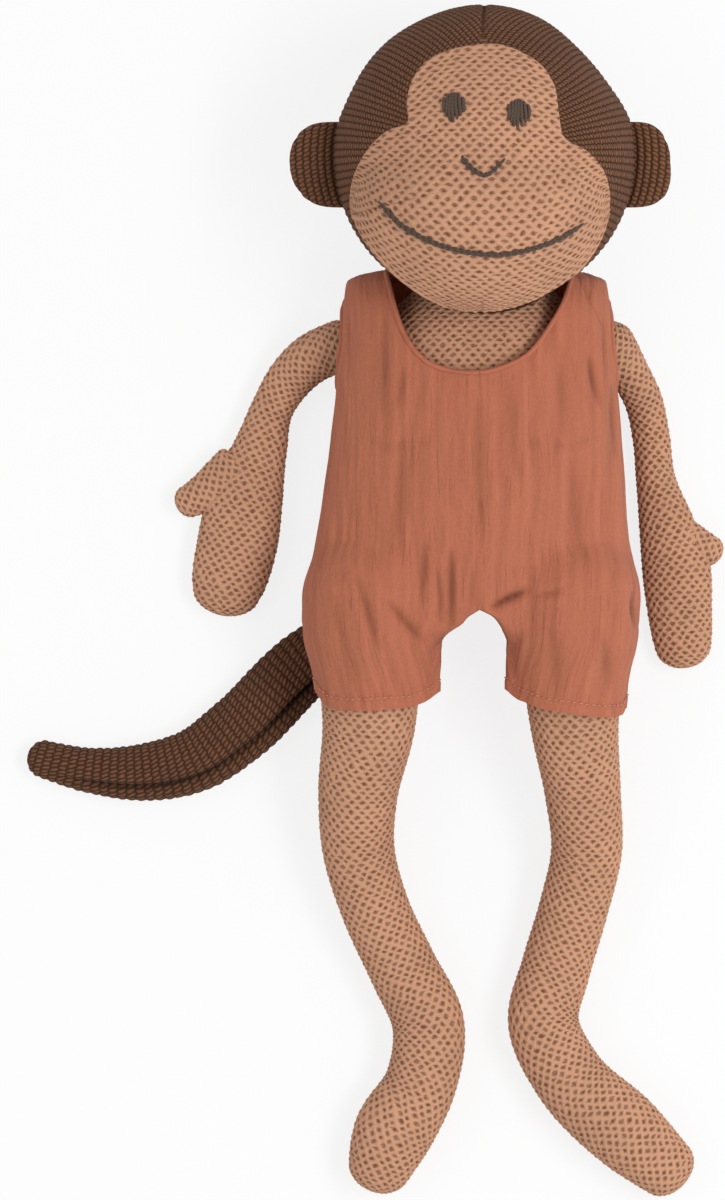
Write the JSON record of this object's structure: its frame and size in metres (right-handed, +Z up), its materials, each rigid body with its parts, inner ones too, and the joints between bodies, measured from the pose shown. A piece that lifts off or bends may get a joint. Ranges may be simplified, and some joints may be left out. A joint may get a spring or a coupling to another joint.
{
  "type": "plush monkey",
  "caption": "Knitted plush monkey with a stuffed head, limbs and tail that turn at their seams, dressed in a sleeveless muslin romper, lying on its back.",
  "frame": {"origin": "on the floor plane, under the middle of the back, where the romper rests", "axes": "+X towards the toy's own left hand, +Y towards the top of its head, +Z up, out of its front"},
  "size_m": [0.222, 0.3799, 0.104],
  "materials": {
    "brown_knit": "dark brown garter-stitch cotton knit, matt",
    "tan_knit": "tan moss-stitch cotton knit, matt",
    "muslin": "rust-coloured crinkled cotton muslin, matt",
    "embroidery_thread": "dark grey-brown embroidery thread, slight sheen",
    "sewing_thread": "tan sewing thread, matt",
    "stuffing": "off-white polyester fibre, matt"
  },
  "bodies": {
    "torso": {"torso_skin": "tan_knit", "torso_stuffing": "stuffing", "romper_bodice": "muslin", "right_hip_seam": "sewing_thread", "left_hip_seam": "sewing_thread"},
    "neck": {"neck_gusset": "tan_knit"},
    "head": {"head_hood": "brown_knit", "face_panel": "tan_knit", "head_stuffing": "stuffing", "right_eye": "embroidery_thread", "left_eye": "embroidery_thread", "nose_stitch": "embroidery_thread", "mouth_stitch": "embroidery_thread"},
    "right_ear": {"right_ear": "brown_knit"},
    "left_ear": {"left_ear": "brown_knit"},
    "right_shoulder": {"right_shoulder_seam": "sewing_thread"},
    "left_shoulder": {"left_shoulder_seam": "sewing_thread"},
    "right_arm": {"right_arm_skin": "tan_knit", "right_arm_stuffing": "stuffing"},
    "left_arm": {"left_arm_skin": "tan_knit", "left_arm_stuffing": "stuffing"},
    "right_leg": {"right_leg_skin": "tan_knit", "right_leg_stuffing": "stuffing", "romper_right_leg": "muslin"},
    "left_leg": {"left_leg_skin": "tan_knit", "left_leg_stuffing": "stuffing", "romper_left_leg": "muslin"},
    "tail": {"tail_skin": "brown_knit", "tail_stuffing": "stuffing"}
  },
  "joints": [
    {"name": "head_nod", "type": "hinge", "parent": "torso", "child": "neck", "pos_m": [0.002, 0.102, 0.0475], "axis": [1, 0, 0], "range_deg": [-15, 8], "stiffness_Nm_per_rad": 0.12},
    {"name": "head_turn", "type": "hinge", "parent": "neck", "child": "head", "pos_m": [0.002, 0.102, 0.0475], "axis": [0, 1, 0], "range_deg": [-30, 30], "stiffness_Nm_per_rad": 0.12},
    {"name": "right_ear_fold", "type": "hinge", "parent": "head", "child": "right_ear", "pos_m": [-0.0485, 0.099, 0.0475], "axis": [0, 1, 0], "range_deg": [-30, 30], "stiffness_Nm_per_rad": 0.002},
    {"name": "left_ear_fold", "type": "hinge", "parent": "head", "child": "left_ear", "pos_m": [0.0525, 0.099, 0.0475], "axis": [0, 1, 0], "range_deg": [-30, 30], "stiffness_Nm_per_rad": 0.002},
    {"name": "right_arm_raise", "type": "hinge", "parent": "torso", "child": "right_shoulder", "pos_m": [-0.0445, 0.0413, 0.0135], "axis": [0, 0, -1], "range_deg": [0, 60]},
    {"name": "right_arm_lift", "type": "hinge", "parent": "right_shoulder", "child": "right_arm", "pos_m": [-0.0445, 0.0413, 0.0135], "axis": [-1, 0, 0], "range_deg": [0, 90]},
    {"name": "left_arm_raise", "type": "hinge", "parent": "torso", "child": "left_shoulder", "pos_m": [0.0425, 0.041, 0.0135], "axis": [0, 0, 1], "range_deg": [0, 60]},
    {"name": "left_arm_lift", "type": "hinge", "parent": "left_shoulder", "child": "left_arm", "pos_m": [0.0425, 0.041, 0.0135], "axis": [-1, 0, 0], "range_deg": [0, 90]},
    {"name": "right_hip", "type": "hinge", "parent": "torso", "child": "right_leg", "pos_m": [-0.0342, -0.04, 0.0365], "axis": [-1, 0, 0], "range_deg": [0, 90]},
    {"name": "left_hip", "type": "hinge", "parent": "torso", "child": "left_leg", "pos_m": [0.0298, -0.04, 0.0365], "axis": [-1, 0, 0], "range_deg": [0, 90]},
    {"name": "tail_wag", "type": "hinge", "parent": "torso", "child": "tail", "pos_m": [-0.012, -0.036, 0.0055], "axis": [0, 0, 1], "range_deg": [-9, 12]}
  ]
}
